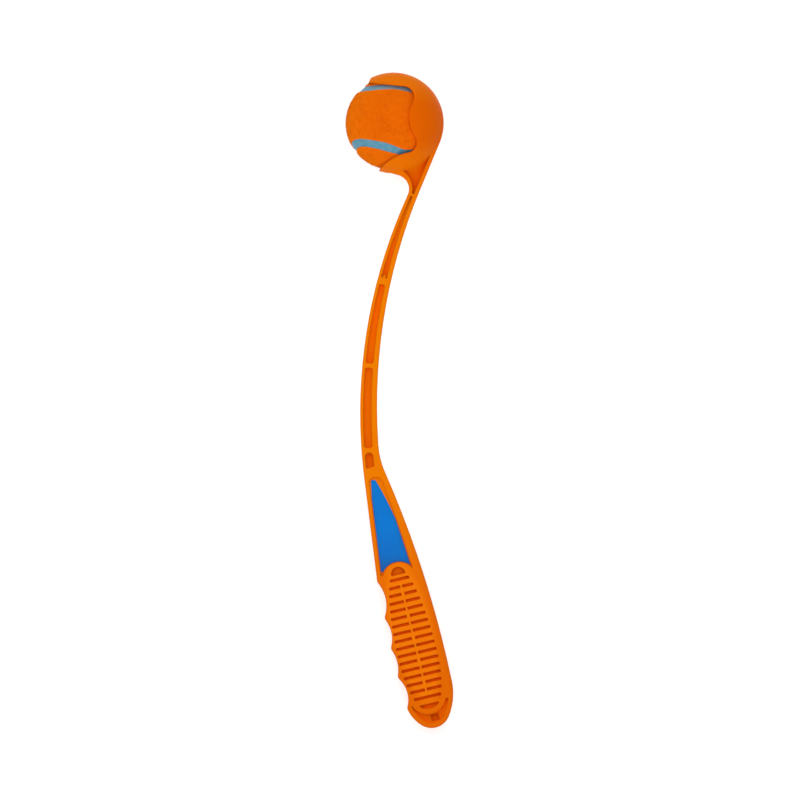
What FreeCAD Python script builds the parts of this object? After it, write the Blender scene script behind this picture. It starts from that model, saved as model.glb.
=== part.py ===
import FreeCAD, Part
import math
import os
from FreeCAD import Rotation, Vector

# All sizes are in mm and degrees. The launcher lies on its side: its middle plane is z = 0,
# the cup's centre is the origin, the cup's mouth faces -X and the handle points to -Y.

# Ball
ball_diameter = 64.2
felt_thickness = 3.0
core_wall = 3.5
seam_width = 6.1
seam_depth = 0.6          # how far the seam lies below the felt
seam_waist = 0.191        # share of the radius that pinches each felt panel at its waist
seam_yaw = 55.8
seam_pitch = -26.9
seam_roll = -51.5
seam_points = 16
seam_walls = (0.8, 1.2)   # they reach from this share of the core's radius to this share of the ball's

# Cup. The places along its rim, seen from the side, are shares of its radius
ball_clearance = 0.3
cup_wall = 2.75
ball_forward = 1.2        # the ball sits this far out of the cup's centre, so the claws thin out
ball_drop = 0.4
claw_top = (-0.495, 0.7824)
claw_top_slope = 67.0     # direction of the upper claw's cut end
claw_low = (-0.2589, -0.9047)
claw_low_bow = 0.9673     # radius of the lower claw's edge
lobe = (0.3101, 0.0967)   # how far back the side walls of the cup reach
lobe_bow = 0.6828
notch_top_y = 0.5007
notch_top_bow = 0.2134
notch_low_y = -0.3954
notch_low_bow = 0.2048
rim_round = 0.9

# Neck, where the shaft runs into the cup
neck_slope = 22.589       # lean of the neck's back, which touches the cup
neck_fillet = 10.0
neck_gap = 0.95           # from the cup down to the top of the neck's hollow
gusset_sink = 1.0
flange_fade = 25.0        # radius on which the back flange sinks into the cup
neck_back_flange = 2.8
neck_front_flange = 2.4
neck_flare = 3.4          # how much more the front flange thickens towards the cup
neck_tip_drop = 2.7       # from the middle of the hollow down to the rounded tip of the recess
neck_blend = 8.0          # radius between the cup and the web under it
flange_blend = 6.0        # radius between the cup and the tops of the flanges

# Shaft
shaft_back_bow = 393.0
shaft_back_x = -11.4
shaft_front_bow = 365.3
shaft_front_x = -23.2
shaft_front_drop = 4.9    # the front's bow is centred this much lower than the back's
shaft_thickness = 13.0
web_thickness = 2.6
front_flange = 2.1
back_flange_top = 3.0
back_flange_low = 4.2
shaft_front_round = 0.9
shaft_back_round = 1.5
channel_ends = ((-52.5, -109.2), (-113.8, -168.2), (-171.2, -226.2))
channel_round = 0.36      # corner radius of a recess, as a share of its narrower end
boss_y = -108.4
boss_radius = 1.0
end_pocket_y = (-229.4, -240.2)
end_pocket_rise = 2.8     # height of its arched top
end_pocket_slant = 1.0    # how much lower its floor line lies at the front
end_pocket_round = 1.0
flare_radius = 54.0

# Handle, in its own directions: s runs down the grip and n runs out to the fingers
grip_x = 14.4
grip_y = -360.6
grip_tilt = 13.4
grip_thickness = 22.0
grip_back_bow = 747.0
grip_back_reach = 19.35
grip_back_s = 14.0
taper_start_y = -226.0
taper_end_y = -326.0
taper_blend = 150.0
ridge_s = (-45.3, -19.5, 2.1, 22.8, 45.3)
ridge_n = (15.6, 16.7, 17.3, 17.3, 15.8)
valley_s = (-31.4, -8.3, 13.5, 37.3)
valley_n = (12.7, 14.2, 15.0, 13.2)
ridge_round = 3.0
heel_tip_s = 62.8
heel_tip_n = -0.6
heel_tip_radius = 13.0
heel_back_radius = 42.0
heel_front_radius = 26.0
grip_back_round = 4.0
heel_round = 1.8
grip_front_round = 0.9

# Label pocket and label
pocket_depth = 1.4
pocket_top_y = -250.2
pocket_top_rise = 3.4
pocket_low_s = -48.6
pocket_front_margin = 2.9
pocket_back_margin_top = 4.1
pocket_back_margin_low = 6.3
pocket_low_y = -311.0
label_thickness = 0.25
label_margin = 0.6
label_low_s = -51.3
label_top_y = -249.0
label_top_inset = 1.0     # from the pocket's front wall to the label's blunt top
label_top_width = 3.1
label_front_join_y = -262.0    # where the label's sides meet the even margin
label_back_join_y = -276.4
label_top_round = 1.0
label_shoulder = 0.5      # how far its back edge bows out above the even margin

# Grip ladder
ladder_wide_s = 12.0
ladder_half_width = 13.9
ladder_up = 64.4          # from the widest place to the upper end
ladder_down = 40.0        # from the widest place to the lower end
slot_first_s = -43.7
slot_pitch = 5.27
slot_count = 17
slot_width = 2.1
slot_corner = 0.6
slot_depth = 3.0
cap_depth = 3.6
spine_narrow = 1.45
spine_wide = 2.35
spine_cycle = 3
cap_top_s = (-46.9, -52.4)     # flat side and crown of the upper cap pocket
cap_top_half = 5.0
cap_low_s = (45.4, 49.0)
cap_low_half = 7.5
cap_round = 0.6
ring_top_s = -43.35
ring_top_radius = 12.05
ring_low_s = 39.6
ring_low_radius = 13.0
crescent_depth = 3.0
crescent_wall = 3.4
crescent_start_s = 44.5
heel_pocket_s = (53.4, 58.0)
heel_pocket_n = (-4.6, 1.0)
heel_pocket_depth = 2.5

# Values that follow from the ones above
ball_radius = ball_diameter / 2
core_radius = ball_radius - felt_thickness
cavity_radius = ball_radius + ball_clearance
cup_radius = cavity_radius + cup_wall
ball_centre = Vector(-ball_forward, -ball_drop, 0)
seam_turn = Rotation(seam_yaw, seam_pitch, seam_roll)
cup_centre = Vector(0, 0, 0)
neck_normal = Vector(math.cos(math.radians(neck_slope)), -math.sin(math.radians(neck_slope)), 0)
shaft_back_far = shaft_back_x + shaft_back_bow
shaft_back_y = (cup_radius + shaft_back_bow - neck_normal.x * shaft_back_far) / neck_normal.y
shaft_back = Vector(shaft_back_far, shaft_back_y, 0)
shaft_front = Vector(shaft_front_x + shaft_front_bow, shaft_back_y - shaft_front_drop, 0)
cup_touch = neck_normal * cup_radius
shaft_touch = shaft_back - neck_normal * shaft_back_bow
tilt = math.radians(grip_tilt)
grip_down = Vector(math.sin(tilt), -math.cos(tilt), 0)
grip_out = Vector(-math.cos(tilt), -math.sin(tilt), 0)
up = Vector(0, 0, 1)
far = 3 * cup_radius
near = 0.05               # two places closer than this count as one


def grip(s, n):
    return Vector(grip_x, grip_y, 0) + grip_down * s + grip_out * n


def toward(start, end):
    return (end - start).normalize()


# The point where two circles cross, on the left or the right of the way from a to b
def crossing(a, ra, b, rb, left):
    gap = (b - a).Length
    along = (ra * ra - rb * rb + gap * gap) / (2 * gap)
    across = math.sqrt(ra * ra - along * along)
    way = toward(a, b)
    side = up.cross(way) * (across if left else -across)
    return a + way * along + side


# Where a line from a point touches a circle, on the left or the right of the way to its centre
def touch(point, centre, radius, left):
    gap = (centre - point).Length
    return crossing(point, math.sqrt(gap * gap - radius * radius), centre, radius, left)


def arc(centre, start, end, turn):
    a = math.atan2(start.y - centre.y, start.x - centre.x)
    b = math.atan2(end.y - centre.y, end.x - centre.x)
    sweep = (b - a) % (2 * math.pi) if turn > 0 else -((a - b) % (2 * math.pi))
    radius = (start - centre).Length
    middle = centre + Vector(math.cos(a + sweep / 2), math.sin(a + sweep / 2), 0) * radius
    return Part.Arc(start, middle, end).toShape()


# The straight edges that join points into a closed outline
def loop(points):
    return [line(points[i - 1], points[i]) for i in range(len(points))]


def arc_through(start, middle, end):
    return Part.Arc(start, middle, end).toShape()


def line(start, end):
    return Part.makeLine(start, end)


# A prism on a closed outline, between two heights
def prism(edges, low, high):
    face = Part.Face(Part.Wire(edges))
    solid = face.extrude(Vector(0, 0, high - low))
    solid.translate(Vector(0, 0, low))
    return solid


def mirrored(shape):
    return shape.mirror(Vector(0, 0, 0), up)


# Upright edges of a prism that pass near the given points
def upright_edges(solid, points):
    found = []
    for edge in solid.Edges:
        ends = [vertex.Point for vertex in edge.Vertexes]
        if len(ends) != 2 or math.hypot(ends[0].x - ends[1].x, ends[0].y - ends[1].y) > near:
            continue
        if any(math.hypot(ends[0].x - p.x, ends[0].y - p.y) < near for p in points):
            found.append(edge)
    return found


# The point of a circle at height y, on its -X side, moved out of the circle by inset
def bow_point(centre, radius, y, inset):
    side = Vector(-math.sqrt(radius * radius - (y - centre.y) ** 2), y - centre.y, 0)
    return centre + side.normalize() * (radius + inset)


# Where a ray from a point inside a circle meets the circle
def ray_meets(start, way, centre, radius):
    back = start - centre
    half = back.dot(way)
    return start + way * (-half + math.sqrt(half * half - back.dot(back) + radius * radius))


# Centres of the circles of the handle's back, its flare into the shaft and its heel
grip_back = grip(grip_back_s, grip_back_bow - grip_back_reach)
flare = crossing(shaft_back, shaft_back_bow - flare_radius, grip_back, grip_back_bow + flare_radius, False)
heel_tip = grip(heel_tip_s - heel_tip_radius, heel_tip_n)
heel_back = crossing(grip_back, grip_back_bow - heel_back_radius,
                     heel_tip, heel_back_radius - heel_tip_radius, True)
last_ridge = grip(ridge_s[-1], ridge_n[-1])
heel_front = crossing(last_ridge, heel_front_radius, heel_tip, heel_front_radius - heel_tip_radius, True)
shoulder = grip(ridge_s[0], ridge_n[0])
neck_y = -cup_radius - neck_gap - neck_fillet
neck_reach = math.sqrt((shaft_front_bow + neck_fillet) ** 2 - (neck_y - shaft_front.y) ** 2)
neck_hollow = Vector(shaft_front.x - neck_reach, neck_y, 0)


# The finger grooves from the last ridge up to the shoulder, each an arc through its valley
def groove_edges():
    edges = []
    for i in reversed(range(len(valley_s))):
        start = grip(ridge_s[i + 1], ridge_n[i + 1])
        middle = grip(valley_s[i], valley_n[i])
        end = grip(ridge_s[i], ridge_n[i])
        edges.append(arc_through(start, middle, end))
    return edges


# The neck, shaft and handle seen from the side: down the back, round the heel, up the front
def stick_outline():
    fade_centre = cup_touch - neck_normal * flange_fade
    fade_end = fade_centre + (neck_normal + up.cross(neck_normal)).normalize() * flange_fade
    flare_start = shaft_back + toward(shaft_back, flare) * shaft_back_bow
    flare_end = flare + toward(flare, grip_back) * flare_radius
    heel_start = grip_back + toward(grip_back, heel_back) * grip_back_bow
    tip_start = heel_back + toward(heel_back, heel_tip) * heel_back_radius
    tip_end = heel_front + toward(heel_front, heel_tip) * heel_front_radius
    front_touch = touch(shoulder, shaft_front, shaft_front_bow, True)
    hollow_low = neck_hollow + toward(neck_hollow, shaft_front) * neck_fillet
    claw_root = Vector(*claw_low, 0).normalize() * (cup_radius - gusset_sink)
    hollow_top = touch(claw_root, neck_hollow, neck_fillet, True)
    edges = [arc(fade_centre, fade_end, cup_touch, -1),
             line(cup_touch, shaft_touch),
             arc(shaft_back, shaft_touch, flare_start, 1),
             arc(flare, flare_start, flare_end, 1),
             arc(grip_back, flare_end, heel_start, -1),
             arc(heel_back, heel_start, tip_start, -1),
             arc(heel_tip, tip_start, tip_end, -1),
             arc(heel_front, tip_end, last_ridge, -1)]
    edges += groove_edges()
    edges += [line(shoulder, front_touch),
              arc(shaft_front, front_touch, hollow_low, -1),
              arc(neck_hollow, hollow_low, hollow_top, 1),
              line(hollow_top, claw_root),
              line(claw_root, cup_centre),
              line(cup_centre, fade_end)]
    return edges


# The corners of a closed outline, each rounded with its own radius
def rounded(points, radii):
    edges = []
    starts = []
    ends = []
    for i, point in enumerate(points):
        before = toward(point, points[i - 1])
        after = toward(point, points[(i + 1) % len(points)])
        half = before.getAngle(after) / 2
        reach = radii[i] / math.tan(half)
        starts.append(point + before * reach)
        ends.append(point + after * reach)
        if radii[i] > 0:
            centre = point + (before + after).normalize() * (radii[i] / math.sin(half))
            edges.append(arc_through(starts[i], centre + toward(centre, point) * radii[i], ends[i]))
    for i in range(len(points)):
        edges.append(line(ends[i - 1], starts[i]))
    return Part.Wire(Part.__sortEdges__(edges))


# The same seen from the front: a thin shaft that tapers out to the thick grip
def stick_thickness():
    shaft = shaft_thickness / 2
    handle = grip_thickness / 2
    end_y = grip(heel_tip_s, 0).y - cup_radius
    side = [(cup_radius, shaft, 0), (taper_start_y, shaft, taper_blend),
            (taper_end_y, handle, taper_blend), (end_y, handle, 0)]
    corners = side + [(y, -z, blend) for y, z, blend in reversed(side)]
    wire = rounded([Vector(-far, y, z) for y, z, blend in corners], [blend for y, z, blend in corners])
    return Part.Face(wire).extrude(Vector(3 * far, 0, 0))


# A value that runs evenly between named places along the launcher
def between(y, stations):
    for (y_a, value_a), (y_b, value_b) in zip(stations, stations[1:]):
        if y_b <= y <= y_a:
            return value_a + (value_b - value_a) * (y_a - y) / (y_a - y_b)
    return stations[0][1] if y > stations[0][0] else stations[-1][1]


def on_back(point):
    if point.y < taper_start_y:
        return (point - grip(0, 0)).dot(grip_out) < 0
    depth = shaft_back_x - shaft_front_x
    return point.x > cup_radius / 2 or (point - shaft_back).Length < shaft_back_bow + depth / 3


# How much a long edge is rounded at one of its ends: the back of the grip most of all
def edge_round(end, back, heel_start, tip_start, tip_end):
    if back:
        return between(end.y, ((taper_start_y, shaft_back_round), (taper_end_y, grip_back_round),
                               (heel_start.y, grip_back_round), (tip_start.y, heel_round)))
    return between(end.y, ((taper_start_y, shaft_front_round), (shoulder.y, grip_front_round),
                           (last_ridge.y, grip_front_round), (tip_end.y, heel_round)))


def round_long_edges(solid):
    heel_start = grip_back + toward(grip_back, heel_back) * grip_back_bow
    tip_start = heel_back + toward(heel_back, heel_tip) * heel_back_radius
    tip_end = heel_front + toward(heel_front, heel_tip) * heel_front_radius
    rounds = []
    for number, edge in enumerate(solid.Edges, 1):
        ends = [edge.valueAt(edge.FirstParameter), edge.valueAt(edge.LastParameter)]
        middle = edge.valueAt((edge.FirstParameter + edge.LastParameter) / 2)
        upright = abs(ends[0].z - ends[1].z) > shaft_thickness / 2
        across = abs(ends[0].y - ends[1].y) < near
        hidden = abs(middle.z) < near or math.hypot(middle.x, middle.y) < cavity_radius
        if upright or across or hidden:
            continue
        back = on_back(Vector(middle.x, middle.y, 0))
        radii = [edge_round(end, back, heel_start, tip_start, tip_end) for end in ends]
        rounds.append((number, radii[0], radii[1]))
    document = FreeCAD.newDocument("rounding")
    plain = document.addObject("Part::Feature", "plain")
    plain.Shape = solid
    smooth = document.addObject("Part::Fillet", "smooth")
    smooth.Base = plain
    smooth.Edges = rounds
    document.recompute()
    shape = smooth.Shape.copy()
    FreeCAD.closeDocument(document.Name)
    return shape


def stick_body():
    half = grip_thickness / 2
    plan = prism(stick_outline(), -half, half)
    ridges = [grip(s, n) for s, n in zip(ridge_s, ridge_n)]
    plan = plan.makeFillet(ridge_round, upright_edges(plan, ridges))
    body = plan.common(stick_thickness())
    blend = cup_blend(shaft_thickness / 2, flange_blend).common(plan)
    return round_long_edges(body.fuse([blend, mirrored(blend)]).removeSplitter())


# The centre of a circle at height y that touches the lobe's circle from the front
def notch_centre(lobe_centre, gap, y):
    return Vector(lobe_centre.x - math.sqrt(gap ** 2 - (y - lobe_centre.y) ** 2), y, 0)


# The closed rim seen from the side, and everything in front of it
def rim_outline():
    lobe_radius = lobe_bow * cup_radius
    high_radius = notch_top_bow * cup_radius
    low_radius = notch_low_bow * cup_radius
    claw_radius = claw_low_bow * cup_radius
    middle = Vector(*lobe, 0) * cup_radius + Vector(lobe_radius, 0, 0)
    high = notch_centre(middle, lobe_radius + high_radius, notch_top_y * cup_radius)
    low = notch_centre(middle, lobe_radius + low_radius, notch_low_y * cup_radius)
    high_tip = Vector(*claw_top, 0) * cup_radius
    low_tip = Vector(*claw_low, 0) * cup_radius
    bow = crossing(low, low_radius + claw_radius, low_tip, claw_radius, True)
    slope = math.radians(claw_top_slope)
    high_out = high_tip + Vector(math.cos(slope), math.sin(slope), 0) * cup_radius
    low_out = low_tip + up.cross(toward(bow, low_tip)) * cup_radius
    claw_touch = touch(high_tip, high, high_radius, True)
    lobe_high = high + toward(high, middle) * high_radius
    lobe_low = low + toward(low, middle) * low_radius
    claw_start = low + toward(low, bow) * low_radius
    return [line(high_out, high_tip),
            line(high_tip, claw_touch),
            arc(high, claw_touch, lobe_high, -1),
            arc(middle, lobe_high, lobe_low, 1),
            arc(low, lobe_low, claw_start, -1),
            arc(bow, claw_start, low_tip, 1),
            line(low_tip, low_out),
            line(low_out, Vector(-far, low_out.y, 0)),
            line(Vector(-far, low_out.y, 0), Vector(-far, high_out.y, 0)),
            line(Vector(-far, high_out.y, 0), high_out)]


def ball_solid(radius, centre):
    ball = Part.makeSphere(radius)
    ball.rotate(Vector(0, 0, 0), up, 180)
    ball.translate(centre)
    return ball


# A prism cut into the upper side down to a height, with rounded upright corners
def pocket(edges, floor, corners, radius):
    solid = prism(edges, floor, grip_thickness)
    if radius > 0:
        solid = solid.makeFillet(radius, upright_edges(solid, corners))
    return solid


# The filling of a hollow corner between a flat floor and the cup, turned round the cup's axis
def cup_blend(floor, radius):
    grown = cup_radius + radius
    hollow = Vector(math.sqrt(grown ** 2 - (floor + radius) ** 2), 0, floor + radius)
    high = hollow * (cup_radius / grown)
    low = Vector(hollow.x, 0, floor)
    middle = hollow + toward(hollow, (high + low) / 2) * radius
    axis_low = Vector(0, 0, floor)
    axis_high = Vector(0, 0, high.z)
    edges = [arc_through(high, middle, low), line(low, axis_low),
             line(axis_low, axis_high), line(axis_high, high)]
    return Part.Face(Part.Wire(edges)).revolve(axis_low, up, 360)


# The three-cornered recess under the cup, between the back flange and the front one
def neck_pocket():
    high_back = cup_touch - neck_normal * neck_back_flange
    way = toward(cup_touch, shaft_touch)
    tip_y = neck_y - neck_tip_drop
    low_back = high_back + way * ((tip_y - high_back.y) / way.y)
    bow = neck_hollow - Vector(neck_flare, 0, 0)
    radius = neck_fillet + neck_front_flange + neck_flare
    low_front = bow + Vector(math.sqrt(radius ** 2 - neck_tip_drop ** 2), -neck_tip_drop, 0)
    high_front = crossing(bow, radius, cup_centre, cup_radius - neck_back_flange, False)
    tip = (low_back + low_front) / 2 + way * ((low_back - low_front).Length / 2)
    edges = [line(high_back, low_back), arc_through(low_back, tip, low_front),
             arc(bow, low_front, high_front, 1), line(high_front, high_back)]
    return prism(edges, web_thickness / 2, grip_thickness).cut(cup_blend(web_thickness / 2, neck_blend))


# The back wall of the recesses comes nearer to the back edge towards the cup
def channel_walls(y):
    high, low = channel_ends[0][0], end_pocket_y[1]
    inset = between(y, ((high, back_flange_top), (low, back_flange_low)))
    back = bow_point(shaft_back, shaft_back_bow, y, inset)
    front = ray_meets(shaft_back, toward(shaft_back, back), shaft_front, shaft_front_bow - front_flange)
    return back, front


# One recess of the shaft between its flanges, from a height to a lower one
def channel(high_y, low_y):
    walls = [channel_walls(y) for y in (high_y, (high_y + low_y) / 2, low_y)]
    backs = [back for back, front in walls]
    fronts = [front for back, front in walls]
    edges = [arc_through(*backs), line(backs[2], fronts[2]), arc_through(*reversed(fronts)),
             line(fronts[0], backs[0])]
    narrow = min((backs[0] - fronts[0]).Length, (backs[2] - fronts[2]).Length)
    corners = [backs[0], backs[2], fronts[0], fronts[2]]
    return pocket(edges, web_thickness / 2, corners, channel_round * narrow)


# The arched recess that closes the row, with a slanted end
def end_pocket():
    high_y, low_y = end_pocket_y
    high_back, high_front = channel_walls(high_y - end_pocket_rise)
    middle_back, middle_front = channel_walls((high_y + low_y) / 2)
    low_front = channel_walls(low_y)[1]
    low_back = channel_walls(low_y + end_pocket_slant)[0]
    crown = (high_back + high_front) / 2 + Vector(0, end_pocket_rise, 0)
    edges = [arc_through(high_back, middle_back, low_back), line(low_back, low_front),
             arc_through(low_front, middle_front, high_front), arc_through(high_front, crown, high_back)]
    return pocket(edges, web_thickness / 2, [low_back, low_front], end_pocket_round)


# A round boss that stands in the lower end of the first recess
def end_boss():
    back, front = channel_walls(boss_y)
    return Part.makeCylinder(boss_radius, grip_thickness, (back + front) / 2)


# The tapered side of the handle that carries the label, as a placement with z out of it
def label_side():
    rise = (grip_thickness - shaft_thickness) / 2
    lean = math.degrees(math.atan2(rise, taper_start_y - taper_end_y))
    middle_y = (taper_start_y + taper_end_y) / 2
    height = (shaft_thickness + grip_thickness) / 4
    base = Vector(0, middle_y, height)
    return FreeCAD.Placement(base, Rotation(Vector(1, 0, 0), -lean), Vector(0, 0, 0))


# The label pocket's front wall, drawn in by a margin, at a height
def label_front(y, margin):
    way = toward(shoulder, touch(shoulder, shaft_front, shaft_front_bow, True))
    inward = Vector(way.y, -way.x, 0)
    start = shoulder + inward * (pocket_front_margin + margin)
    return start + way * ((y - start.y) / way.y)


def label_back(y, margin):
    inset = between(y, ((pocket_top_y, pocket_back_margin_top), (pocket_low_y, pocket_back_margin_low)))
    reach = grip_back_bow - inset - margin
    return grip_back + Vector(math.sqrt(reach ** 2 - (y - grip_back.y) ** 2), y - grip_back.y, 0)


# A prism cut off along the ladder's ring and laid on the label's side
def on_label_side(shape, margin, low_s):
    box = shape.BoundBox
    centre = grip(ring_top_s, 0) + up * box.ZMin
    ring = Part.makeCylinder(ring_top_radius + margin, box.ZLength, centre)
    below = prism(loop([grip(low_s, -far), grip(low_s, far), grip(low_s + far, far),
                        grip(low_s + far, -far)]), box.ZMin, box.ZMax)
    laid = shape.cut(ring).cut(below)
    side = label_side()
    laid.translate(-Vector(0, side.Base.y, 0))
    laid.Placement = side.multiply(laid.Placement)
    return laid


def label_pocket():
    floor_y = grip(pocket_low_s, 0).y - ring_top_radius
    high_front, low_front = label_front(pocket_top_y, 0), label_front(floor_y, 0)
    high_back, low_back = label_back(pocket_top_y, 0), label_back(floor_y, 0)
    crown = (high_front + high_back) / 2 + toward(low_front, high_front) * pocket_top_rise
    middle_back = label_back((pocket_top_y + floor_y) / 2, 0)
    edges = [arc_through(high_front, crown, high_back), arc_through(high_back, middle_back, low_back),
             line(low_back, low_front), line(low_front, high_front)]
    return on_label_side(prism(edges, -pocket_depth, grip_thickness), 0, pocket_low_s)


# One slot of the ladder. Its corners are cut off, except along the spine
def slot(s, n_start, n_end):
    half = slot_width / 2
    flat = half - slot_corner
    corners = []
    for side, n in ((1, n_start), (-1, n_end)):
        if abs(n) < spine_wide:
            corners += [grip(s + side * half, n), grip(s - side * half, n)]
            continue
        inner = n + side * slot_corner
        corners += [grip(s + side * half, inner), grip(s + side * flat, n),
                    grip(s - side * flat, n), grip(s - side * half, inner)]
    return prism(loop(corners), grip_thickness / 2 - slot_depth, grip_thickness)


def ladder_slots():
    slots = []
    for row in range(slot_count):
        s = slot_first_s + row * slot_pitch
        span = ladder_up if s < ladder_wide_s else ladder_down
        reach = ladder_half_width * math.sqrt(1 - ((s - ladder_wide_s) / span) ** 2)
        if row in (0, slot_count - 1):
            slots.append(slot(s, -reach, reach))
            continue
        spine = spine_wide if row % spine_cycle == spine_cycle - 1 else spine_narrow
        slots.append(slot(s, -reach, -spine / 2))
        slots.append(slot(s, spine / 2, reach))
    return slots


# A pocket with one flat and one bowed side that closes an end of the ladder
def cap_pocket(flat_s, crown_s, half):
    a, b = grip(flat_s, -half), grip(flat_s, half)
    edges = [line(a, b), arc_through(b, grip(crown_s, 0), a)]
    return pocket(edges, grip_thickness / 2 - cap_depth, [a, b], cap_round)


# The recess between the ladder's ring and the wall that runs round the heel
def heel_crescent():
    wall = crescent_wall
    floor = grip_thickness / 2 - crescent_depth
    tip_start = heel_back + toward(heel_back, heel_tip) * (heel_back_radius - wall)
    tip_end = heel_front + toward(heel_front, heel_tip) * (heel_front_radius - wall)
    back_top = ray_meets(grip(crescent_start_s, 0), grip_out * -1, heel_back, heel_back_radius - wall)
    front_top = ray_meets(grip(crescent_start_s, 0), grip_out, heel_front, heel_front_radius - wall)
    edges = [arc(heel_back, back_top, tip_start, -1),
             arc(heel_tip, tip_start, tip_end, -1),
             arc(heel_front, tip_end, front_top, -1),
             line(front_top, back_top)]
    recess = prism(edges, floor, grip_thickness)
    ring = Part.makeCylinder(ring_low_radius, grip_thickness, grip(ring_low_s, 0))
    s_a, s_b = heel_pocket_s
    n_a, n_b = heel_pocket_n
    corners = [grip(s_a, n_a), grip(s_a, n_b), grip(s_b, n_b), grip(s_b, n_a)]
    deep = pocket(loop(corners), floor - heel_pocket_depth, corners, cap_round)
    return [recess.cut(ring), deep]


def side_recesses():
    cuts = [neck_pocket()]
    recesses = [channel(high_y, low_y) for high_y, low_y in channel_ends]
    recesses[0] = recesses[0].cut(end_boss())
    cuts += recesses + [end_pocket()]
    cuts += [label_pocket()]
    cuts += ladder_slots()
    cuts += [cap_pocket(*cap_top_s, cap_top_half), cap_pocket(*cap_low_s, cap_low_half)]
    cuts += heel_crescent()
    return cuts


# The outer edges of the cup that run along its rim
def rim_edges(solid):
    outline = Part.Wire(rim_outline())
    found = []
    for edge in solid.Edges:
        middle = edge.valueAt((edge.FirstParameter + edge.LastParameter) / 2)
        below = Part.Vertex(middle.x, middle.y, 0)
        if abs(middle.Length - cup_radius) < near and below.distToShape(outline)[0] < near:
            found.append(edge)
    return found


def cup(hollows):
    shell = ball_solid(cup_radius, cup_centre).cut(hollows)
    return shell.makeFillet(rim_round, rim_edges(shell))


def launcher():
    hollows = [prism(rim_outline(), -far, far), ball_solid(cavity_radius, ball_centre)]
    cuts = side_recesses()
    cuts += [mirrored(cut) for cut in cuts]
    return stick_body().cut(cuts + hollows).fuse(cup(hollows))


# The film follows the pocket's walls, but its top is narrower and blunt
def handle_label():
    floor_y = grip(label_low_s, 0).y - ring_top_radius
    low_front, low_back = label_front(floor_y, label_margin), label_back(floor_y, label_margin)
    join_front = label_front(label_front_join_y, label_margin)
    join_back = label_back(label_back_join_y, label_margin)
    middle_back = label_back((label_back_join_y + floor_y) / 2, label_margin)
    top_front = label_front(label_top_y, label_margin) + Vector(label_top_inset, 0, 0)
    top_back = top_front + Vector(label_top_width, 0, 0)
    shoulder_back = (top_back + join_back) / 2 + up.cross(toward(top_back, join_back)) * label_shoulder
    edges = [line(top_front, top_back), arc_through(top_back, shoulder_back, join_back),
             arc_through(join_back, middle_back, low_back), line(low_back, low_front),
             line(low_front, join_front), line(join_front, top_front)]
    film = prism(edges, -pocket_depth, -pocket_depth + label_thickness)
    film = film.makeFillet(label_top_round, upright_edges(film, [top_front, top_back]))
    return on_label_side(film, label_margin, label_low_s)


# The line of the ball's seam on a sphere, moved sideways along the sphere by an angle
def seam_line(radius, shift):
    a = 1 - seam_waist
    b = seam_waist
    c = 2 * math.sqrt(a * b)
    points = []
    for i in range(seam_points):
        t = 2 * math.pi * i / seam_points
        place = Vector(a * math.cos(t) + b * math.cos(3 * t), a * math.sin(t) - b * math.sin(3 * t),
                       c * math.sin(2 * t))
        way = Vector(-a * math.sin(t) - 3 * b * math.sin(3 * t), a * math.cos(t) - 3 * b * math.cos(3 * t),
                     2 * c * math.cos(2 * t)).normalize()
        side = place.cross(way)
        points.append((place * math.cos(shift) + side * math.sin(shift)) * radius)
    curve = Part.BSplineCurve()
    curve.interpolate(points, True)
    return curve.toShape()


# A sphere whose poles and edge line stay inside one felt panel
def ball_sphere(radius):
    sphere = Part.makeSphere(radius)
    diagonal = Vector(1, -1, 0)
    sphere.Placement = FreeCAD.Placement(Vector(0, 0, 0), Rotation(up, up.cross(diagonal), diagonal, "ZXY"))
    return sphere


# The two felt panels and the seam between them
def ball_cover():
    shell = ball_sphere(ball_radius).cut(ball_sphere(core_radius))
    shift = seam_width / 2 / ball_radius
    inside = core_radius * seam_walls[0]
    outside = ball_radius * seam_walls[1]
    walls = [Part.makeRuledSurface(seam_line(inside, side), seam_line(outside, side))
             for side in (-shift, shift)]
    pieces, history = shell.generalFuse(walls)
    panel_b, seam, panel_a = sorted(pieces.Solids, key=lambda piece: piece.CenterOfMass.z)
    return seam.common(ball_sphere(ball_radius - seam_depth)), panel_a, panel_b


# Two half shells of rubber, joined on the plane that the seam's curve winds about
def ball_core():
    shell = Part.makeSphere(core_radius).cut(Part.makeSphere(core_radius - core_wall))
    half = Part.makeBox(2 * far, 2 * far, far, Vector(-far, -far, 0))
    return [shell.common(half), shell.cut(half)]


def on_ball(shape):
    placed = shape.copy()
    placed.Placement = FreeCAD.Placement(ball_centre, seam_turn).multiply(placed.Placement)
    return placed


def parts():
    seam, panel_a, panel_b = ball_cover()
    core_a, core_b = ball_core()
    return {"launcher": launcher(),
            "handle_label": handle_label(),
            "ball_core_half_a": on_ball(core_a),
            "ball_core_half_b": on_ball(core_b),
            "felt_panel_a": on_ball(panel_a),
            "felt_panel_b": on_ball(panel_b),
            "seam_band": on_ball(seam)}


os.makedirs("parts", exist_ok=True)
for name, shape in parts().items():
    solids = shape.Solids
    if len(solids) == 1:
        shape = solids[0]
    shape.exportStep("parts/" + name + ".step")
    print(name, len(solids), shape.isValid(), round(shape.Volume), len(shape.Faces))
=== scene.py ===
import math
import random
import bpy
import numpy as np
from mathutils import Matrix, Vector, noise
from mathutils.geometry import delaunay_2d_cdt


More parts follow.
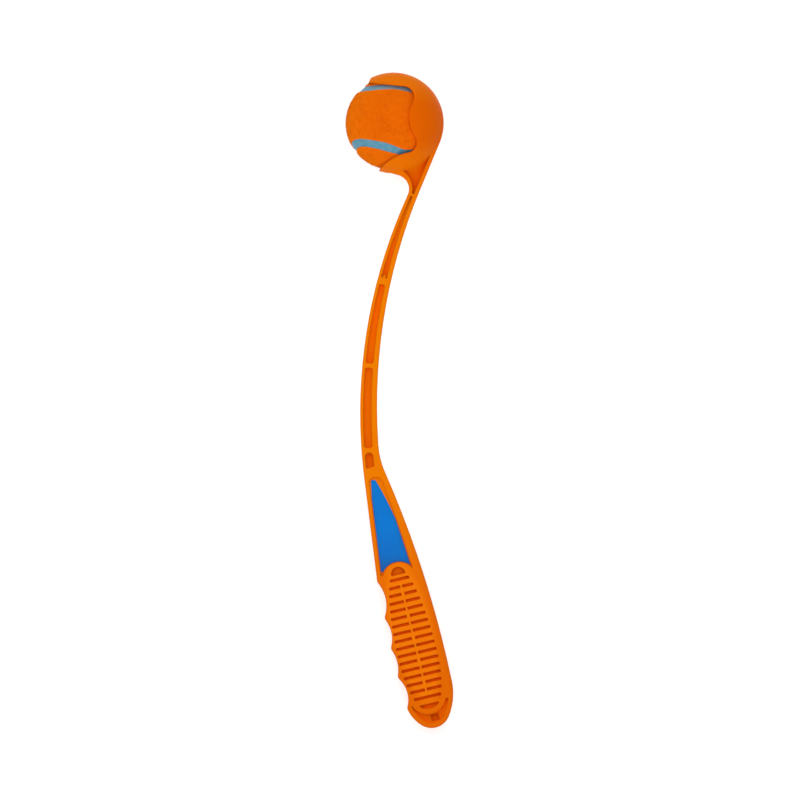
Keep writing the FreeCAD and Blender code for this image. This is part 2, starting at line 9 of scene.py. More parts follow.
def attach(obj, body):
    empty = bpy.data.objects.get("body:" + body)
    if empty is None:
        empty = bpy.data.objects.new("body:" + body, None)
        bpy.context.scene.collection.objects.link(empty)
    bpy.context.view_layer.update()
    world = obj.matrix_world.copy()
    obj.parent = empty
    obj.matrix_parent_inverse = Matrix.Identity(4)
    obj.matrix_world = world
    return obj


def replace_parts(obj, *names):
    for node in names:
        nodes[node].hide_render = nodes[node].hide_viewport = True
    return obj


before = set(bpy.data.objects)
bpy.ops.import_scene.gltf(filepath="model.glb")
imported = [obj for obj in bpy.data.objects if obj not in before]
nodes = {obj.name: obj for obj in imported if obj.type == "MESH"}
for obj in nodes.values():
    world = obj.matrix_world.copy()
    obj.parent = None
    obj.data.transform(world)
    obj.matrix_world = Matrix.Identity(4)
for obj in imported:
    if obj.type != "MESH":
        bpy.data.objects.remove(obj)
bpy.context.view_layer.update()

scene = bpy.context.scene
scene.view_settings.view_transform = "Standard"
print("frame loaded:", len(nodes), "nodes")


# Small helpers for node trees

def setInputs(tree, node, values):
    for key, value in values.items():
        if isinstance(value, bpy.types.NodeSocket):
            tree.links.new(value, node.inputs[key])
        else:
            node.inputs[key].default_value = value


def addNode(tree, kind, values=None, **settings):
    node = tree.nodes.new(kind)
    for key, value in settings.items():
        setattr(node, key, value)
    setInputs(tree, node, values or {})
    return node


def calc(tree, operation, a, b=0.0, clamp=False):
    return addNode(tree, "ShaderNodeMath", {0: a, 1: b}, operation=operation, use_clamp=clamp).outputs[0]


def remap(tree, value, low, high, a=0.0, b=1.0):
    values = {"Value": value, "From Min": low, "From Max": high, "To Min": a, "To Max": b}
    return addNode(tree, "ShaderNodeMapRange", values).outputs[0]


def mixColour(tree, factor, a, b):
    return addNode(tree, "ShaderNodeMix", {0: factor, 6: a, 7: b}, data_type="RGBA").outputs[2]


def noiseAt(tree, place, scale, detail=3.0, rough=0.5):
    values = {"Vector": place, "Scale": scale, "Detail": detail, "Roughness": rough}
    return addNode(tree, "ShaderNodeTexNoise", values).outputs["Fac"]


def bump(tree, height, distance, strength=1.0, normal=None):
    values = {"Height": height, "Distance": distance, "Strength": strength}
    if normal is not None:
        values["Normal"] = normal
    return addNode(tree, "ShaderNodeBump", values).outputs["Normal"]


def objectPlace(tree):
    return addNode(tree, "ShaderNodeTexCoord").outputs["Object"]


def split(tree, vector):
    return addNode(tree, "ShaderNodeSeparateXYZ", {0: vector}).outputs


def newGroup(name, inputs, outputs):
    group = bpy.data.node_groups.new(name, "ShaderNodeTree")
    for title, kind, value in inputs:
        socket = group.interface.new_socket(name=title, in_out="INPUT", socket_type="NodeSocket" + kind)
        socket.default_value = value
    for title, kind in outputs:
        group.interface.new_socket(name=title, in_out="OUTPUT", socket_type="NodeSocket" + kind)
    return group, group.nodes.new("NodeGroupInput").outputs, group.nodes.new("NodeGroupOutput").inputs


def useGroup(tree, group, values):
    node = tree.nodes.new("ShaderNodeGroup")
    node.node_tree = group
    setInputs(tree, node, values)
    return node.outputs


def newMaterial(name, values):
    material = bpy.data.materials.new(name)
    material.use_nodes = True
    tree = material.node_tree
    shader = tree.nodes["Principled BSDF"]
    for key, value in values.items():
        shader.inputs[key].default_value = value
    return material, tree, shader


def dress(piece, material):
    piece.data.materials.clear()
    piece.data.materials.append(material)


# Effects that several materials share

shared = {
    "edgeFacing": (0.99, 0.8),       # cosine between the true normal and the rounded one, from sound to worn
    "edgePatches": (0.35, 0.65),
    "broadScale": 45.0,
    "smudgeRange": (0.3, 0.7),       # where nearly all of the grain's smudge lies
}


# Edges that hands and floors have worn, where a rounded normal leaves the true one; on the launcher the
# lighter tone laid on them is partly a painted highlight along the rims
def edgeGroup():
    group, given, out = newGroup("edgeWear", [("Radius", "Float", 0.0006), ("Breakup", "Float", 300.0)],
                                 [("Mask", "Float")])
    soft = addNode(group, "ShaderNodeBevel", {"Radius": given["Radius"]}, samples=4).outputs[0]
    sharp = addNode(group, "ShaderNodeNewGeometry").outputs["Normal"]
    between = addNode(group, "ShaderNodeVectorMath", {0: soft, 1: sharp}, operation="DOT_PRODUCT")
    edge = remap(group, between.outputs["Value"], *shared["edgeFacing"])
    patches = noiseAt(group, objectPlace(group), given["Breakup"], detail=2.0)
    patchy = remap(group, patches, *shared["edgePatches"])
    group.links.new(calc(group, "MULTIPLY", edge, patchy, True), out["Mask"])
    return group


# Fine pits and swells of a moulded or printed surface, up and down from its level
def grainGroup():
    group, given, out = newGroup("fineGrain", [("Size", "Float", 0.0006), ("Swell", "Float", 0.3)],
                                 [("Height", "Float"), ("Smudge", "Float")])
    place = objectPlace(group)
    fine = noiseAt(group, place, calc(group, "DIVIDE", 1.0, given["Size"]), detail=2.0, rough=0.6)
    broad = noiseAt(group, place, shared["broadScale"])
    height = calc(group, "ADD", calc(group, "SUBTRACT", fine, 0.5),
                  calc(group, "MULTIPLY", calc(group, "SUBTRACT", broad, 0.5), given["Swell"]))
    group.links.new(height, out["Height"])
    group.links.new(broad, out["Smudge"])
    return group


# How deep a surface lies in a recess: 0 in the open, up to the most that is asked for. This mask paints shade
# into the colour of recesses
def recessGroup():
    group, given, out = newGroup("recessShade", [("Distance", "Float", 0.005), ("Open", "Float", 0.9),
                                                 ("Deep", "Float", 0.5), ("Most", "Float", 1.0)],
                                 [("Mask", "Float")])
    around = addNode(group, "ShaderNodeAmbientOcclusion", {"Distance": given["Distance"]}, samples=6)
    deep = remap(group, around.outputs["AO"], given["Open"], given["Deep"], 0.0, given["Most"])
    group.links.new(deep, out["Mask"])
    return group


edgeWear = edgeGroup()
fineGrain = grainGroup()
recessShade = recessGroup()
print("shared effects built")


def wearOf(tree, finish):
    worn = useGroup(tree, edgeWear, {"Radius": finish["wearRadius"], "Breakup": finish["wearBreakup"]})
    return calc(tree, "MULTIPLY", worn["Mask"], finish["wear"])


def grainOf(tree, finish):
    return useGroup(tree, fineGrain, {"Size": finish["grainSize"], "Swell": finish["grainSwell"]})


def recessOf(tree, finish):
    openness, depth = finish["shadeRange"]
    values = {"Distance": finish["shade"], "Open": openness, "Deep": depth, "Most": finish["shadeMost"]}
    return useGroup(tree, recessShade, values)["Mask"]


def smudgeRoughness(tree, shader, grain, finish):
    rough = remap(tree, grain["Smudge"], *shared["smudgeRange"], *finish["roughness"])
    tree.links.new(rough, shader.inputs["Roughness"])


# Launcher: one orange moulding. Fades run between two places along it, in metres up from the cup's middle

plastic = {
    # skin tones, with painted light: the shaft yellower, the cup's ends lighter, the heel darker in painted
    # shade
    "cup": (0.76, 0.121, 0.0004, 1),
    "cupEndsLit": (0.84, 0.182, 0.0005, 1),
    "shaft": (0.84, 0.21, 0.0008, 1),
    "grip": (0.79, 0.153, 0.002, 1),
    "ribHighlight": (0.90, 0.202, 0.003, 1),
    "heel": (0.775, 0.144, 0.001, 1),
    # recess floors: painted light and shade, laid on through the recess mask
    "gussetRecessShading": (0.8, 0.1, 0.0004, 1),
    "neckRecessShading": (1.0, 0.33, 0.001, 1),
    "channelRecessShading": (1.0, 0.195, 0.0006, 1),
    "shaftRecessShading": (0.9, 0.188, 0.0006, 1),
    "capRecessShading": (0.64, 0.084, 0.0006, 1),
    "gripRecessShadingAndStreak": (0.9, 0.125, 0.0006, 1),
    "heelRecessShading": (0.96, 0.175, 0.0006, 1),
    "heelPocketShade": (0.76, 0.12, 0.0006, 1),
    # lighter edges: partly wear, partly a painted highlight along the rims
    "lightened": (0.90, 0.25, 0.015, 1),
    "tint": (1.0, 0.4, 0.06, 1),
    "cupFade": (0.012, 0.03),        # both ways from the cup's middle
    "skinFades": (("shaft", -0.034, -0.055), ("grip", -0.25, -0.33), ("heel", -0.36, -0.42)),
    "recessShadingFades": (("neckRecessShading", -0.044, -0.056), ("channelRecessShading", -0.058, -0.095),
                    ("shaftRecessShading", -0.13, -0.2), ("capRecessShading", -0.25, -0.31),
                    ("gripRecessShadingAndStreak", -0.315, -0.318)),
    "heelFade": (-0.4, -0.406),
    "heelHeight": (0.0076, 0.0064),  # out from the middle plane, from crescent to heel pocket
    "ladder": (0.01301, -0.35476, 0.0),    # middle, half size and lean of the oval where the grip's bars get a painted highlight
    "ladderHalf": (0.0141, 0.0505, 1.0),
    "ladderLean": 13.4,
    "ladderEdge": (1.1, 0.9),        # shares of its half size
    "flow": (1.0, 0.25, 1.0),        # the streaks are drawn out along the moulding
    "streakScale": 60.0,
    "streakRange": (0.35, 0.7),
    "streak": 0.16,
    "shade": 0.007,
    "shadeRange": (0.85, 0.3),
    "shadeMost": 0.85,
    "wearRadius": 0.0005,
    "wearBreakup": 260.0,
    "wear": 0.3,
    "grainSize": 0.0007,
    "grainSwell": 0.5,
    "grainHeight": 0.00004,
    "roughness": (0.36, 0.5),
    "soften": 0.0008,
    "seamHeight": 0.00012,
    "seamHalf": 0.00016,
    "seamUpright": 0.3,
}


# One colour after another along the launcher
def toneAlong(tree, along, tone, fades):
    for name, start, end in fades:
        tone = mixColour(tree, remap(tree, along, start, end), tone, plastic[name])
    return tone


# Painted light and shade along the launcher: the shaft is painted yellower than the cup and the grip, as
# light through its thinner walls, the cup lighter towards its ends and the heel darker; the grip's bars get a
# painted highlight, and the flow streaks are the moulding's own
def skinToneAndPaintedLight(tree, place, along):
    toEnds = remap(tree, calc(tree, "ABSOLUTE", along), *plastic["cupFade"])
    tone = mixColour(tree, toEnds, plastic["cup"], plastic["cupEndsLit"])
    tone = toneAlong(tree, along, tone, plastic["skinFades"])
    # painted highlight on the bars between the grip's slots, inside a leaning oval
    turned = {"Vector": place, "Location": plastic["ladder"], "Scale": plastic["ladderHalf"],
              "Rotation": (0.0, 0.0, math.radians(plastic["ladderLean"]))}
    ladder = addNode(tree, "ShaderNodeMapping", turned, vector_type="TEXTURE").outputs[0]
    reach = addNode(tree, "ShaderNodeVectorMath", {0: ladder}, operation="LENGTH").outputs["Value"]
    tone = mixColour(tree, remap(tree, reach, *plastic["ladderEdge"]), tone, plastic["ribHighlight"])
    flow = addNode(tree, "ShaderNodeMapping", {"Vector": place, "Scale": plastic["flow"]}).outputs[0]
    drawn = noiseAt(tree, flow, plastic["streakScale"], detail=4.0, rough=0.6)
    streak = calc(tree, "MULTIPLY", remap(tree, drawn, *plastic["streakRange"]), plastic["streak"])
    return mixColour(tree, streak, tone, plastic["gripRecessShadingAndStreak"])


# Painted light and shade on recess floors: light from a recess's walls is coloured twice, and its floor is
# painted a tone of its own in place of that bounce and shade
def recessShadingTone(tree, along, height):
    tone = toneAlong(tree, along, plastic["gussetRecessShading"], plastic["recessShadingFades"])
    deep = remap(tree, height, *plastic["heelHeight"])
    heel = mixColour(tree, deep, plastic["heelRecessShading"], plastic["heelPocketShade"])
    return mixColour(tree, remap(tree, along, *plastic["heelFade"]), tone, heel)


def plasticMaterial():
    material, tree, shader = newMaterial("orangePlastic", {
        "Specular IOR Level": 0.015, "Specular Tint": plastic["tint"],
        "Subsurface Weight": 0.1, "Subsurface Radius": (0.003, 0.0009, 0.0002), "Subsurface Scale": 1.0})
    grain = grainOf(tree, plastic)
    place = objectPlace(tree)
    spot = split(tree, place)
    height = calc(tree, "ABSOLUTE", spot["Z"])
    # painted shade: the recess mask turns deep places to their recess shading tones
    tone = mixColour(tree, recessOf(tree, plastic), skinToneAndPaintedLight(tree, place, spot["Y"]),
                     recessShadingTone(tree, spot["Y"], height))
    # edge wear, and with it a painted highlight along the rims
    tone = mixColour(tree, wearOf(tree, plastic), tone, plastic["lightened"])
    tree.links.new(tone, shader.inputs["Base Color"])
    smudgeRoughness(tree, shader, grain, plastic)
    # the line where the mould's halves met, round the edge at half thickness
    near = remap(tree, height, plastic["seamHalf"], 0.0)
    facing = split(tree, addNode(tree, "ShaderNodeNewGeometry").outputs["True Normal"])["Z"]
    upright = calc(tree, "LESS_THAN", calc(tree, "ABSOLUTE", facing), plastic["seamUpright"])
    soft = addNode(tree, "ShaderNodeBevel", {"Radius": plastic["soften"]}, samples=6).outputs[0]
    skin = bump(tree, grain["Height"], plastic["grainHeight"], 1.0, soft)
    seamed = bump(tree, calc(tree, "MULTIPLY", near, upright), plastic["seamHeight"], 1.0, skin)
    tree.links.new(seamed, shader.inputs["Normal"])
    return material


dress(nodes["launcher"], plasticMaterial())
print("launcher dressed")

# Label: a bare blue film in the handle's recess

label = {
    "bright": (0.003, 0.18, 0.62, 1),
    "dark": (0.015, 0.085, 0.33, 1),
    "ends": (-0.25, -0.312),         # places of its top and its lowest corners
    "fade": 0.3,
    "cloud": 0.5,
    "corner": (-0.301, -0.309),
    "cornerDark": 0.55,
    "shade": 0.003,
    "shadeRange": (0.95, 0.6),
    "shadeMost": 0.8,
    "wearRadius": 0.0004,
    "wearBreakup": 500.0,
    "wear": 0.5,
    "grainSize": 0.0012,
    "grainSwell": 1.2,
    "grainHeight": 0.00004,
    "roughness": (0.25, 0.4),
}


def labelMaterial():
    material, tree, shader = newMaterial("blueFilm", {
        "IOR": 1.5, "Specular IOR Level": 0.15, "Specular Tint": (0.15, 0.5, 1.0, 1)})
    grain = grainOf(tree, label)
    along = split(tree, objectPlace(tree))["Y"]
    fade = calc(tree, "MULTIPLY", remap(tree, along, *label["ends"]), label["fade"])
    cloud = calc(tree, "MULTIPLY", calc(tree, "SUBTRACT", grain["Smudge"], 0.5), label["cloud"])
    tone = mixColour(tree, calc(tree, "ADD", fade, cloud, True), label["bright"], label["dark"])
    # partly painted shadow from the pocket's wall, partly the print's darker gradient: darker towards the
    # lowest corners
    corner = remap(tree, along, *label["corner"], 0.0, label["cornerDark"])
    # the recess mask paints shade along the pocket's walls
    for mask in (corner, wearOf(tree, label), recessOf(tree, label)):
        tone = mixColour(tree, mask, tone, label["dark"])
    tree.links.new(tone, shader.inputs["Base Color"])
    smudgeRoughness(tree, shader, grain, label)
    tree.links.new(bump(tree, grain["Height"], label["grainHeight"]), shader.inputs["Normal"])
    return material


dress(nodes["handle_label"], labelMaterial())
print("label dressed")

# Ball: rubber core, seam of rubber cement, two felt covers with a raised nap

ball = {
    "radius": 0.0321,
    "centre": (-0.0012, -0.0004, 0.0),
    "turn": (55.8, -26.9, -51.5),    # about Z, then Y, then X, in degrees
    "waist": 0.191,
}
seam = {
    "steps": 480,
    "rows": (-1.0, -0.8, -0.55, -0.25, 0.0, 0.25, 0.55, 0.8, 1.0),    # shares of its half width
    "half": 0.0033,
    "depth": 0.0006,
    "sag": 0.00022,
    "lumps": (22.0, 0.00007),        # scale, height
    "thickness": 0.0012,
    "uneven": ((7.0, 1.4, 8.0),      # place in degrees, mm cut away, spread in degrees
               (251.0, 0.8, 7.0),
               (268.0, -1.1, 6.0)),
    "colour": (0.067, 0.272, 0.405, 1),
    "pale": (0.155, 0.345, 0.445, 1),
    # painted light for the upper band, in the claw's shade
    "dustyAndPaintedLight": (0.3, 0.52, 0.65, 1),
    "patchScale": 260.0,
    "patchRange": (0.4, 0.68),
    "paintedLightUp": (0.008, 0.026),        # from none to full painted light, in Y and in X
    "paintedLightBack": (-0.017, -0.001),
    "paintedLightFront": 0.15,
    "grainSize": 0.0004,
    "grainSwell": 1.5,
    "grainHeight": 0.00008,
    "roughness": (0.5, 0.7),
}
rubber = {
    "black": (0.02, 0.02, 0.022, 1),
    "dustyAndPaintedLight": (0.06, 0.06, 0.06, 1),
    "grainSize": 0.0005,
    "grainSwell": 0.8,
    "grainHeight": 0.0001,
}
felt = {
    "border": ((2.9, 1.3),           # mm from the seam's line, mm below the cover's face
               (2.95, 0.85),
               (3.03, 0.5),
               (3.15, 0.25),
               (3.36, 0.09),
               (3.66, 0.02),
               (4.05, 0.0)),
    "points": 42000,
    "spacing": 0.0004,               # least room between the border and the points inside it
    "closest": 1e-7,                 # points nearer than this count as one when they are joined
    "under": 0.0001,                 # how far the cover lies inside the ball's radius, under the nap
    "swell": (6.0, 0.00011),         # scale, height
    "ripple": (34.0, 0.00007),
    "fray": (40.0, 0.00012),
    "orange": (0.86, 0.155, 0.001, 1),
    "light": (0.98, 0.245, 0.004, 1),
    "dark": (0.66, 0.088, 0.0008, 1),
    "warpScale": 350.0,
    "warp": 0.004,
    "fibreScale": 2600.0,
    "fibreRange": (0.38, 0.66),
    "tuftScale": 420.0,
    "tuftRange": (0.5, 0.75),
    "tuftDark": 0.4,
    "tuftHeight": 1.5,               # as a share of the fibres' height
    "broadScale": 70.0,
    "broadRange": (0.5, 0.75),
    "broadDark": 0.2,
    "height": 0.00022,
    "heightStrength": 0.8,
    "coverLift": 0.55,               # how light the fibres get
    "napLift": 1.0,
}
nap = {
    "count": 15000,
    "length": (0.0006, 0.0014),
    "rise": (0.1, 0.55),             # how steeply a fibre stands up
    "bend": 0.5,
    "middleRise": 1.6,               # a fibre leaves the felt steeper than it ends
    "middleBend": 0.4,
    "thickness": 0.000045,
    "thicknessRange": (0.7, 1.3),
    "middleThickness": 0.8,
    "sink": 0.00025,
    "seed": 7,
}

aboutZ, aboutY, aboutX = (Matrix.Rotation(math.radians(angle), 3, axis)
                          for angle, axis in zip(ball["turn"], "ZYX"))
ballTurn = np.array(aboutZ @ aboutY @ aboutX)
ballCentre = np.array(ball["centre"])


# Points on the unit sphere along the seam, and the way to panel a's side from each
def seamLine(steps):
    t = np.linspace(0, 2 * math.pi, steps, endpoint=False)
    a, b = 1 - ball["waist"], ball["waist"]
    c = 2 * math.sqrt(a * b)
    place = np.stack([a * np.cos(t) + b * np.cos(3 * t), a * np.sin(t) - b * np.sin(3 * t),
                      c * np.sin(2 * t)], 1)
    way = np.stack([-a * np.sin(t) - 3 * b * np.sin(3 * t), a * np.cos(t) - 3 * b * np.cos(3 * t),
                    2 * c * np.cos(2 * t)], 1)
    side = np.cross(place, way)
    return place, side / np.linalg.norm(side, axis=1)[:, None]


# How far panel a was cut short of an even border, in metres
def unevenCut(steps):
    t = np.linspace(0, 360, steps, endpoint=False)
    cut = np.zeros(steps)
    for place, amount, spread in seam["uneven"]:
        away = (t - place + 180) % 360 - 180
        cut += amount / 1000 * np.exp(-(away / spread) ** 2)
    return cut


def wobble(place, scale, height):
    return noise.noise(Vector(place) * scale) * height


def onBall(directions, radii):
    return (directions * np.reshape(radii, (-1, 1))) @ ballTurn.T + ballCentre


def meshPiece(name, points, faces, material):
    mesh = bpy.data.meshes.new(name)
    mesh.from_pydata([tuple(p) for p in points], [], [tuple(f) for f in faces])
    mesh.validate()
    mesh.shade_smooth()
    piece = bpy.data.objects.new(name, mesh)
    scene.collection.objects.link(piece)
    piece.data.materials.append(material)
    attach(piece, "ball")
    return piece


# Closed strips of quads between rings of equal length
def ringFaces(count, rings):
    faces = []
    for r in range(rings - 1):
        for i in range(count):
            j = (i + 1) % count
            faces.append((r * count + i, r * count + j, (r + 1) * count + j, (r + 1) * count + i))
    return faces


# Rubber cement: patchy, and the upper band is painted lighter and greyer towards the cup, as painted light
# where the claw shades it
def seamMaterial():
    material, tree, shader = newMaterial("seamCement", {"Specular IOR Level": 0.25})
    grain = grainOf(tree, seam)
    place = objectPlace(tree)
    patch = noiseAt(tree, place, seam["patchScale"], detail=4.0, rough=0.6)
    patch = remap(tree, patch, *seam["patchRange"])
    spot = split(tree, place)
    # painted light: lighter higher up and towards the cup
    lightened = calc(tree, "MULTIPLY", remap(tree, spot["Y"], *seam["paintedLightUp"]),
                  remap(tree, spot["X"], *seam["paintedLightBack"], seam["paintedLightFront"], 1.0))
    tone = mixColour(tree, patch, seam["colour"], seam["pale"])
    tone = mixColour(tree, lightened, tone, seam["dustyAndPaintedLight"])
    tree.links.new(tone, shader.inputs["Base Color"])
    smudgeRoughness(tree, shader, grain, seam)
    tree.links.new(bump(tree, grain["Height"], seam["grainHeight"]), shader.inputs["Normal"])
    return material


def rubberMaterial():
    material, tree, shader = newMaterial("coreRubber", {"Roughness": 0.7, "Specular IOR Level": 0.3})
    grain = grainOf(tree, rubber)
    tone = mixColour(tree, grain["Smudge"], rubber["black"], rubber["dustyAndPaintedLight"])
    tree.links.new(tone, shader.inputs["Base Color"])
    tree.links.new(bump(tree, grain["Height"], rubber["grainHeight"]), shader.inputs["Normal"])
    return material


# Brushed felt: bent fibres, darker tufts and broad darker patches
def feltGroup():
    group, given, out = newGroup("brushedFelt", [("Lift", "Float", 0.5)],
                                 [("Colour", "Color"), ("Height", "Float")])
    place = objectPlace(group)
    warp = addNode(group, "ShaderNodeTexNoise", {"Vector": place, "Scale": felt["warpScale"], "Detail": 2.0})
    bent = addNode(group, "ShaderNodeVectorMath", {0: warp.outputs["Color"], 3: felt["warp"]},
                   operation="SCALE")
    moved = addNode(group, "ShaderNodeVectorMath", {0: place, 1: bent.outputs[0]}, operation="ADD").outputs[0]
    fibre = noiseAt(group, moved, felt["fibreScale"], rough=0.7)
    tuft = noiseAt(group, place, felt["tuftScale"], detail=4.0, rough=0.6)
    broad = noiseAt(group, place, felt["broadScale"], detail=2.0)
    bright = remap(group, fibre, *felt["fibreRange"], 0.0, given["Lift"])
    tufted = remap(group, tuft, *felt["tuftRange"], 0.0, felt["tuftDark"])
    patched = remap(group, broad, *felt["broadRange"], 0.0, felt["broadDark"])
    tone = mixColour(group, bright, felt["orange"], felt["light"])
    tone = mixColour(group, tufted, tone, felt["dark"])
    tone = mixColour(group, patched, tone, felt["dark"])
    height = calc(group, "ADD", fibre, calc(group, "MULTIPLY", tuft, felt["tuftHeight"]))
    group.links.new(tone, out["Colour"])
    group.links.new(height, out["Height"])
    return group


brushedFelt = feltGroup()


def feltMaterial(name, lift):
    material, tree, shader = newMaterial(name, {
        "Roughness": 0.95, "Diffuse Roughness": 1.0,
        "Specular IOR Level": 0.02, "Specular Tint": (1.0, 0.4, 0.06, 1),
        "Sheen Weight": 1.0, "Sheen Roughness": 0.6, "Sheen Tint": (1.0, 0.25, 0.005, 1)})
    brushed = useGroup(tree, brushedFelt, {"Lift": lift})
    tree.links.new(brushed["Colour"], shader.inputs["Base Color"])
    raised = bump(tree, brushed["Height"], felt["height"], felt["heightStrength"])
    tree.links.new(raised, shader.inputs["Normal"])
    return material


# The seam lies in the gap between the felts, a little hollow and never quite even
def makeSeam():
    place, side = seamLine(seam["steps"])
    points = []
    for row in seam["rows"]:
        half = seam["half"] + (unevenCut(seam["steps"]) if row > 0 else 0)
        angle = (row * half / ball["radius"] * np.ones(seam["steps"]))[:, None]
        line = place * np.cos(angle) + side * np.sin(angle)
        hollow = seam["depth"] + seam["sag"] * (1 - row * row)
        lumps = np.array([wobble(p, *seam["lumps"]) for p in line])
        points.append(onBall(line, ball["radius"] - hollow + lumps))
    faces = ringFaces(seam["steps"], len(seam["rows"]))
    piece = meshPiece("seamCement", np.concatenate(points), faces, seamMaterial())
    shell = piece.modifiers.new("thickness", "SOLIDIFY")
    shell.thickness = seam["thickness"]
    shell.offset = -1.0
    return piece


def feltRadius(directions):
    swell = [wobble(p, *felt["swell"]) + wobble(p, *felt["ripple"]) for p in directions]
    return ball["radius"] - felt["under"] + np.array(swell)


# Directions spread evenly over a sphere
def evenSpread(count):
    k = np.arange(count) + 0.5
    z = 1 - 2 * k / count
    swirl = math.pi * (1 + math.sqrt(5)) * k
    return np.stack([np.sqrt(1 - z * z) * np.cos(swirl), np.sqrt(1 - z * z) * np.sin(swirl), z], 1)


# A felt cover: quads down its rolled border, then triangles between points spread evenly inside
def makeFelt(name, sign, material):
    steps = seam["steps"]
    place, side = seamLine(steps)
    frayed = np.array([wobble(p, *felt["fray"]) for p in place])
    if sign > 0:
        frayed += unevenCut(steps)
    directions, radii = [], []
    for distance, depth in felt["border"]:
        angle = (sign * (distance / 1000 + frayed) / ball["radius"])[:, None]
        line = place * np.cos(angle) + side * np.sin(angle)
        directions.append(line)
        radii.append(feltRadius(line) - depth / 1000)
    spread = evenSpread(felt["points"])
    closeness = spread @ place.T
    nearest = closeness.argmax(1)
    away = np.arccos(np.clip(closeness.max(1), -1, 1)) * ball["radius"]
    hand = np.sign((spread * side[nearest]).sum(1)) * sign
    inside = spread[(hand > 0) & (away > felt["border"][-1][0] / 1000 + frayed[nearest] + felt["spacing"])]
    rim = directions[-1]
    flat = np.concatenate([rim, inside])
    flat = flat[:, :2] / (1 + sign * flat[:, 2:])
    edges = [(i, (i + 1) % steps) for i in range(steps)]
    laid = delaunay_2d_cdt([Vector(p) for p in flat], edges, [], 1, felt["closest"])
    triangles = [[laid[3][v][0] for v in face] for face in laid[2]]
    base = (len(directions) - 1) * steps
    faces = ringFaces(steps, len(directions)) + [[base + v for v in face] for face in triangles]
    points = onBall(np.concatenate(directions + [inside]), np.concatenate(radii + [feltRadius(inside)]))
    return meshPiece(name, points, faces, material), inside


# Loose fibres: thin bent spikes that lie over the felt every way
def makeNap(name, directions, material, seed):
    chance = random.Random(seed)
    points, faces = [], []
    for _ in range(nap["count"]):
        root = Vector(directions[chance.randrange(len(directions))])
        drift = Vector((chance.gauss(0, 1), chance.gauss(0, 1), chance.gauss(0, 1)))
        along = (drift - root * drift.dot(root)).normalized()
        across = root.cross(along)
        length = chance.uniform(*nap["length"])
        rise = chance.uniform(*nap["rise"])
        bend = chance.uniform(-nap["bend"], nap["bend"])
        start = root * (ball["radius"] - nap["sink"])
        lean = along + root * rise * nap["middleRise"] + across * bend * nap["middleBend"]
        middle = start + lean * length * 0.5
        tip = start + (along + root * rise + across * bend) * length
        width = nap["thickness"] * chance.uniform(*nap["thicknessRange"])
        first = len(points)
        for spot, share in ((start, 1.0), (middle, nap["middleThickness"])):
            for turn in (0, 1, 2):
                angle = turn * 2 * math.pi / 3
                points.append(spot + (across * math.cos(angle) + root * math.sin(angle)) * width * share)
        points.append(tip)
        for i, j in ((0, 1), (1, 2), (2, 0)):
            faces.append((first + i, first + j, first + 3 + j, first + 3 + i))
            faces.append((first + 3 + i, first + 3 + j, first + 6))
        faces.append((first + 2, first + 1, first))
    placed = np.array([tuple(p) for p in points]) @ ballTurn.T + ballCentre
    return meshPiece(name, placed, faces, material)


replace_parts(makeSeam(), "seam_band")
coreRubber = rubberMaterial()
dress(nodes["ball_core_half_a"], coreRubber)
dress(nodes["ball_core_half_b"], coreRubber)
coverFelt = feltMaterial("orangeFelt", felt["coverLift"])
napFelt = feltMaterial("feltFibres", felt["napLift"])
for letter, sign in (("a", 1), ("b", -1)):
    cover, spots = makeFelt("feltCover" + letter.upper(), sign, coverFelt)
    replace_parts(cover, "felt_panel_" + letter)
    makeNap("feltNap" + letter.upper(), spots, napFelt, nap["seed"] + sign)
print("ball covered:", nap["count"] * 2, "loose fibres")

# Floor: the plane that the launcher comes to rest on, leaning on the ball, the cup and the grip

floor = {
    "up": (0.0561, 0.0533, 0.997),
    "drop": 0.0322,
    "half": 4.0,
    "paper": 0.65,
    "glow": 0.6,
}
studio = {
    "horizon": 0.4,
    "zenith": 0.55,
    "ends": 1.1,                     # more light along Y, from both ends
    "key": 1.3,
    "keyAim": (0.0, -0.19, 0.0),
    "keyPlace": (-0.05, 0.09, 0.66),    # out from where it aims
    "keySize": 0.55,
}
white = (1, 1, 1, 1)


# The camera and reflections see the stage in plain white
def seenDirectly(tree, rays):
    return calc(tree, "MAXIMUM", rays["Is Camera Ray"],
                calc(tree, "MAXIMUM", rays["Is Glossy Ray"], rays["Is Transmission Ray"]))


def floorMaterial():
    material = bpy.data.materials.new("floorPaper")
    material.use_nodes = True
    tree = material.node_tree
    tree.nodes.clear()
    paper = addNode(tree, "ShaderNodeBsdfDiffuse", {"Color": (floor["paper"],) * 3 + (1,)}).outputs[0]
    glow = addNode(tree, "ShaderNodeEmission", {"Color": white, "Strength": floor["glow"]}).outputs[0]
    bright = addNode(tree, "ShaderNodeAddShader", {0: paper, 1: glow}).outputs[0]
    rays = addNode(tree, "ShaderNodeLightPath").outputs
    lit = addNode(tree, "ShaderNodeMixShader", {0: seenDirectly(tree, rays), 1: paper, 2: bright}).outputs[0]
    # from below, the camera looks through the floor
    clear = addNode(tree, "ShaderNodeBsdfTransparent").outputs[0]
    behind = addNode(tree, "ShaderNodeNewGeometry").outputs["Backfacing"]
    below = calc(tree, "MULTIPLY", behind, rays["Is Camera Ray"])
    shown = addNode(tree, "ShaderNodeMixShader", {0: below, 1: lit, 2: clear}).outputs[0]
    addNode(tree, "ShaderNodeOutputMaterial", {"Surface": shown})
    return material


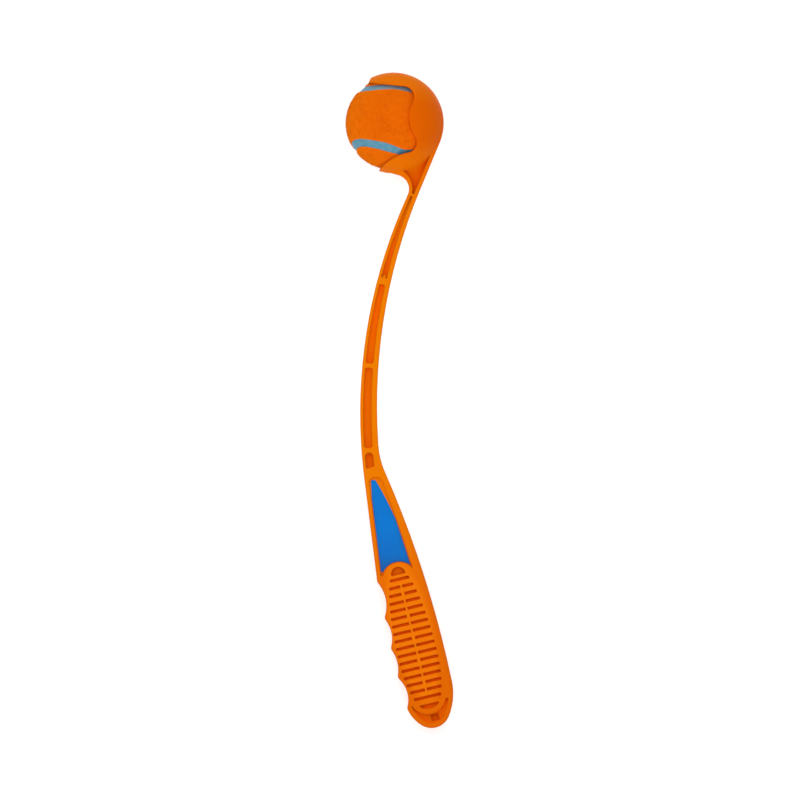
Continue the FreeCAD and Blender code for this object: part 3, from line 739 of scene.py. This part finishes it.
def makeFloor():
    mesh = bpy.data.meshes.new("floor")
    half = floor["half"]
    corners = [(-half, -half, 0), (half, -half, 0), (half, half, 0), (-half, half, 0)]
    mesh.from_pydata(corners, [], [(0, 1, 2, 3)])
    piece = bpy.data.objects.new("floor", mesh)
    scene.collection.objects.link(piece)
    up = Vector(floor["up"]).normalized()
    piece.rotation_mode = "QUATERNION"
    piece.rotation_quaternion = up.to_track_quat("Z", "Y")
    piece.location = up * -floor["drop"]
    piece.data.materials.append(floorMaterial())


def makeLight():
    lamp = bpy.data.lights.new("key", "AREA")
    lamp.shape = "DISK"
    lamp.size = studio["keySize"]
    lamp.energy = studio["key"]
    piece = bpy.data.objects.new("key", lamp)
    scene.collection.objects.link(piece)
    piece.location = Vector(studio["keyAim"]) + Vector(studio["keyPlace"])
    piece.rotation_mode = "QUATERNION"
    piece.rotation_quaternion = Vector(studio["keyPlace"]).to_track_quat("Z", "Y")


def makeWorld():
    world = bpy.data.worlds.new("studio")
    scene.world = world
    world.use_nodes = True
    tree = world.node_tree
    tree.nodes.clear()
    rays = addNode(tree, "ShaderNodeLightPath").outputs
    way = split(tree, addNode(tree, "ShaderNodeTexCoord").outputs["Generated"])
    dome = remap(tree, way["Z"], 0.0, 1.0, studio["horizon"], studio["zenith"])
    ends = calc(tree, "MULTIPLY", calc(tree, "MULTIPLY", way["Y"], way["Y"]), studio["ends"])
    dome = calc(tree, "ADD", dome, ends)
    strength = addNode(tree, "ShaderNodeMix", {0: seenDirectly(tree, rays), 2: dome, 3: 1.0}).outputs[0]
    sky = addNode(tree, "ShaderNodeBackground", {"Color": white, "Strength": strength}).outputs[0]
    addNode(tree, "ShaderNodeOutputWorld", {"Surface": sky})


view = {
    "centre": (0.0046, -0.19325),    # what the middle of the photograph shows
    "width": 0.55792,                # metres across the picture
    "distance": 12.0,
    "sensor": 36.0,
    "farthest": 50.0,
}


def makeCamera():
    camera = bpy.data.cameras.new("camera")
    camera.sensor_width = view["sensor"]
    camera.lens = camera.sensor_width * view["distance"] / view["width"]
    camera.clip_end = view["farthest"]
    piece = bpy.data.objects.new("camera", camera)
    scene.collection.objects.link(piece)
    piece.location = (*view["centre"], view["distance"])
    scene.camera = piece


makeFloor()
makeLight()
makeWorld()
makeCamera()
print("stage set")
